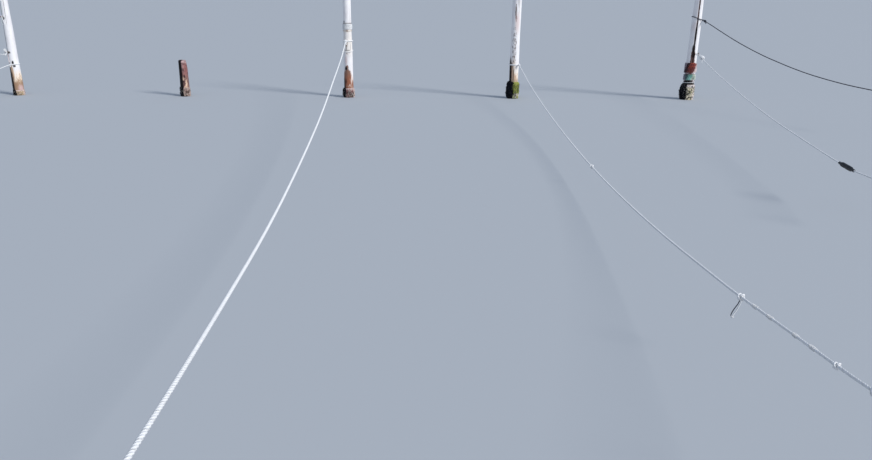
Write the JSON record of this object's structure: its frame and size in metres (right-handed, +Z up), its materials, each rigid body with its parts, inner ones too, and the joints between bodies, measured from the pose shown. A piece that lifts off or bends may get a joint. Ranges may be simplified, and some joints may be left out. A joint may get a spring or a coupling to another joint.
{
  "type": "row of timber mooring piles",
  "caption": "Row of round timber piles standing in water, one broken off, with rope hitches, wraps and mooring lines leading away.",
  "frame": {"origin": "centre of pile_3's foot, at the water line", "axes": "+X along the row of piles, +Z up, the mooring lines lead away towards -Y"},
  "size_m": [17.9068, 15.2116, 2.601],
  "materials": {
    "painted_log": "flaking white paint over bare timber",
    "bare_log": "weathered bare timber",
    "growth": "mussels, barnacles and weed, wet",
    "rusted_iron": "rusted",
    "galvanised_steel": "weathered zinc",
    "white_rope": "three-strand laid rope",
    "dark_rope": "three-strand laid rope",
    "pink_rope": "faded laid rope",
    "red_rope": "old laid rope",
    "green_rope": "old laid rope",
    "tarred_twine": "tarred twine",
    "black_rubber": "matt"
  },
  "bodies": {
    "root": {"pile_1": "painted_log", "pile_1_growth": "growth", "pile_1_spikes": "rusted_iron", "pile_1_hung_loop": "white_rope", "pile_1_drop_line": "pink_rope", "pile_1_hitch": "white_rope", "line_1_thin": "white_rope", "line_1_thin_knot": "white_rope", "line_1_lower": "white_rope", "line_1_eye": "white_rope", "stump_2": "bare_log", "stump_2_growth": "growth", "pile_3": "painted_log", "pile_3_growth": "growth", "pile_3_band": "tarred_twine", "pile_3_collar": "white_rope", "pile_3_slack_turn": "white_rope", "pile_3_hitch": "white_rope", "line_3": "white_rope", "line_3_eye": "white_rope", "pile_4": "painted_log", "pile_4_growth": "growth", "pile_4_hitch": "white_rope", "line_4": "white_rope", "line_4_knots": "white_rope", "line_4_tail": "dark_rope", "line_4_tail_pale": "white_rope", "line_4_eye": "white_rope", "pile_5": "painted_log", "pile_5_growth": "growth", "pile_5_dark_turn": "dark_rope", "line_5_dark": "dark_rope", "line_5_dark_eye": "dark_rope", "pile_5_eye_bolt": "galvanised_steel", "pile_5_ring": "galvanised_steel", "line_5_bowline": "white_rope", "line_5_white": "white_rope", "line_5_spring": "black_rubber", "line_5_eye": "white_rope", "pile_5_red_wrap": "red_rope", "pile_5_green_wrap": "green_rope", "pile_5_white_turn": "white_rope"}
  },
  "joints": []
}
